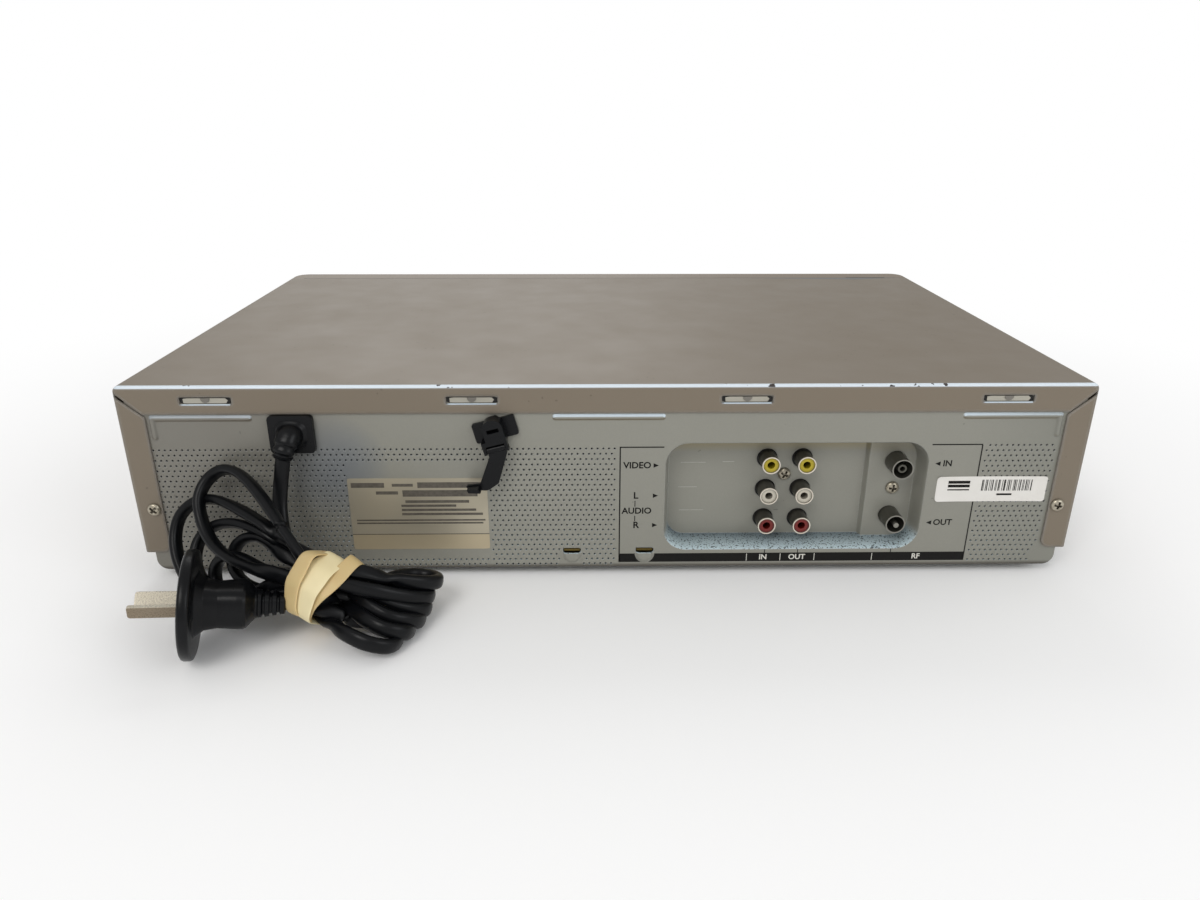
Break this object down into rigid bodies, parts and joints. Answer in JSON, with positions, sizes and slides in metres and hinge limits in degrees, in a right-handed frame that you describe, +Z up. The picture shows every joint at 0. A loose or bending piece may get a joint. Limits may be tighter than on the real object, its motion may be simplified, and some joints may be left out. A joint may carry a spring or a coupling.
{
  "type": "video cassette recorder",
  "caption": "Slim desktop video cassette recorder with a folded steel cover, recessed rear jacks, a tied-up mains cord with plug, and a full tape mechanism inside.",
  "frame": {"origin": "centre of the footprint of the case (cord left out), on the floor", "axes": "+X to the right seen from the front, +Y towards the jack side, +Z up"},
  "size_m": [0.43, 0.3456, 0.094],
  "materials": {
    "cover_paint": "warm grey silver paint",
    "panel_steel": "plain zinc-plated steel, dull",
    "chassis_steel": "zinc-plated steel",
    "fascia_plastic": "silver grey moulded plastic",
    "button_plastic": "silver grey plastic",
    "window_plastic": "smoked clear plastic",
    "black_plastic": "black moulded plastic",
    "cord_vinyl": "soft black vinyl",
    "rubber": "black rubber",
    "band_rubber": "tan rubber",
    "board_green": "solder-masked board",
    "chip_black": "moulded chips and capacitors",
    "ferrite": "ferrite and tape",
    "aluminium": "bare aluminium",
    "steel": "ground steel",
    "nickel": "nickel plate",
    "yellow_plastic": "yellow plastic",
    "white_plastic": "white plastic",
    "red_plastic": "red plastic",
    "white_nylon": "white acetal",
    "tube_glass": "glass display tube",
    "motor_steel": "plated motor can"
  },
  "bodies": {
    "recorder": {"bottom_chassis": "chassis_steel", "feet": "rubber", "rear_panel": "panel_steel", "top_cover": "cover_paint", "front_panel": "fascia_plastic", "display_window": "window_plastic", "front_board": "board_green", "front_switches": "chip_black", "display_tube": "tube_glass", "front_jack_block": "black_plastic", "rear_screws": "steel", "jack_block": "black_plastic", "jack_shells": "nickel", "video_jack_inserts": "yellow_plastic", "left_jack_inserts": "white_plastic", "right_jack_inserts": "red_plastic", "aerial_can": "steel", "aerial_in_socket": "nickel", "aerial_out_plug": "nickel", "cord_gland": "cord_vinyl", "mains_cord": "cord_vinyl", "cord_coil": "cord_vinyl", "rubber_band": "band_rubber", "mains_plug": "cord_vinyl", "plug_blades": "nickel", "main_board": "board_green", "board_parts": "chip_black", "power_transformer": "ferrite", "power_heat_sink": "aluminium", "deck_plate": "steel", "carriage_brackets": "steel", "lower_drum": "aluminium", "capstan_motor": "motor_steel", "loading_motor": "motor_steel", "tape_heads": "steel"},
    "door": {"cassette_door": "fascia_plastic"},
    "flap": {"front_flap": "fascia_plastic"},
    "clip_base": {"cord_clip_base": "black_plastic"},
    "clip_strap": {"cord_clip_strap": "black_plastic"},
    "carriage": {"carriage_bar": "steel"},
    "tray": {"cassette_tray": "steel"},
    "upper_drum": {"head_drum": "aluminium"},
    "capstan_shaft": {"capstan": "steel"},
    "pinch_lever": {"pinch_arm": "steel"},
    "pinch_wheel": {"pinch_roller": "rubber"},
    "supply_side_reel": {"supply_reel": "white_nylon"},
    "take_up_side_reel": {"take_up_reel": "white_nylon"},
    "supply_arm": {"supply_loading_arm": "white_nylon"},
    "take_up_arm": {"take_up_loading_arm": "white_nylon"},
    "loading_cam": {"cam_gear": "white_nylon"},
    "power_key": {"power_button": "button_plastic"},
    "eject_key": {"eject_button": "button_plastic"},
    "rewind_key": {"rewind_button": "button_plastic"},
    "play_key": {"play_button": "button_plastic"},
    "forward_key": {"forward_button": "button_plastic"},
    "stop_key": {"stop_button": "button_plastic"},
    "record_key": {"record_button": "button_plastic"},
    "channel_up_key": {"channel_up_button": "button_plastic"},
    "channel_down_key": {"channel_down_button": "button_plastic"}
  },
  "joints": [
    {"name": "door_hinge", "type": "hinge", "parent": "recorder", "child": "door", "pos_m": [0, -0.1324, 0.085], "axis": [1, 0, 0], "range_deg": [0, 90], "stiffness_Nm_per_rad": 0.02, "springref_deg": -17.19},
    {"name": "flap_hinge", "type": "hinge", "parent": "recorder", "child": "flap", "pos_m": [-0.168, -0.1347, 0.0163], "axis": [1, 0, 0], "range_deg": [0, 90]},
    {"name": "power_press", "type": "slide", "parent": "recorder", "child": "power_key", "axis": [0, 1, 0], "range_m": [0, 0.001], "stiffness_N_per_m": 1500},
    {"name": "eject_press", "type": "slide", "parent": "recorder", "child": "eject_key", "axis": [0, 1, 0], "range_m": [0, 0.001], "stiffness_N_per_m": 1500},
    {"name": "rewind_press", "type": "slide", "parent": "recorder", "child": "rewind_key", "axis": [0, 1, 0], "range_m": [0, 0.001], "stiffness_N_per_m": 1500},
    {"name": "play_press", "type": "slide", "parent": "recorder", "child": "play_key", "axis": [0, 1, 0], "range_m": [0, 0.001], "stiffness_N_per_m": 1500},
    {"name": "forward_press", "type": "slide", "parent": "recorder", "child": "forward_key", "axis": [0, 1, 0], "range_m": [0, 0.001], "stiffness_N_per_m": 1500},
    {"name": "stop_press", "type": "slide", "parent": "recorder", "child": "stop_key", "axis": [0, 1, 0], "range_m": [0, 0.001], "stiffness_N_per_m": 1500},
    {"name": "record_press", "type": "slide", "parent": "recorder", "child": "record_key", "axis": [0, 1, 0], "range_m": [0, 0.001], "stiffness_N_per_m": 1500},
    {"name": "channel_up_press", "type": "slide", "parent": "recorder", "child": "channel_up_key", "axis": [0, 1, 0], "range_m": [0, 0.001], "stiffness_N_per_m": 1500},
    {"name": "channel_down_press", "type": "slide", "parent": "recorder", "child": "channel_down_key", "axis": [0, 1, 0], "range_m": [0, 0.001], "stiffness_N_per_m": 1500},
    {"name": "clip_swivel", "type": "hinge", "parent": "recorder", "child": "clip_base", "pos_m": [0.0505, 0.126, 0.0739], "axis": [0, 1, 0], "range_deg": [-29, 0]},
    {"name": "clip_hinge", "type": "hinge", "parent": "clip_base", "child": "clip_strap", "pos_m": [0.04986, 0.132, 0.06663], "axis": [0.9681, 0, -0.2504], "range_deg": [0, 115]},
    {"name": "carriage_slide", "type": "slide", "parent": "recorder", "child": "carriage", "axis": [0, 1, 0], "range_m": [0, 0.05]},
    {"name": "tray_drop", "type": "slide", "parent": "carriage", "child": "tray", "axis": [0, 0, -1], "range_m": [0, 0.022]},
    {"name": "drum_spin", "type": "hinge", "parent": "recorder", "child": "upper_drum", "pos_m": [0, 0.055, 0.029], "axis": [0.1038, 0, 0.9946], "continuous": true},
    {"name": "capstan_spin", "type": "hinge", "parent": "recorder", "child": "capstan_shaft", "pos_m": [0.066, 0.02, 0.03], "axis": [0, 0, 1], "continuous": true},
    {"name": "pinch_swing", "type": "hinge", "parent": "recorder", "child": "pinch_lever", "pos_m": [0.09, 0.038, 0.028], "axis": [0, 0, 1], "range_deg": [0, 25], "stiffness_Nm_per_rad": 0.05},
    {"name": "pinch_spin", "type": "hinge", "parent": "pinch_lever", "child": "pinch_wheel", "pos_m": [0.0692, 0.0384, 0.035], "axis": [0, 0, 1], "continuous": true},
    {"name": "supply_reel_spin", "type": "hinge", "parent": "recorder", "child": "supply_side_reel", "pos_m": [-0.0462, -0.043, 0.03], "axis": [0, 0, 1], "continuous": true},
    {"name": "take_up_reel_spin", "type": "hinge", "parent": "recorder", "child": "take_up_side_reel", "pos_m": [0.0462, -0.043, 0.03], "axis": [0, 0, 1], "continuous": true},
    {"name": "cam_turn", "type": "hinge", "parent": "recorder", "child": "loading_cam", "pos_m": [-0.078, 0.056, 0.022], "axis": [0, 0, 1], "range_deg": [0, 300]},
    {"name": "supply_arm_swing", "type": "hinge", "parent": "recorder", "child": "supply_arm", "pos_m": [-0.0241, 0.0379, 0.022], "axis": [0, 0, -1], "range_deg": [0, 130.4]},
    {"name": "take_up_arm_swing", "type": "hinge", "parent": "recorder", "child": "take_up_arm", "pos_m": [0.0241, 0.0379, 0.022], "axis": [0, 0, 1], "range_deg": [0, 130.4]}
  ],
  "couplings": [
    {"joint": "supply_arm_swing", "follows": "cam_turn", "ratio": 0.4346},
    {"joint": "take_up_arm_swing", "follows": "cam_turn", "ratio": 0.4346}
  ]
}
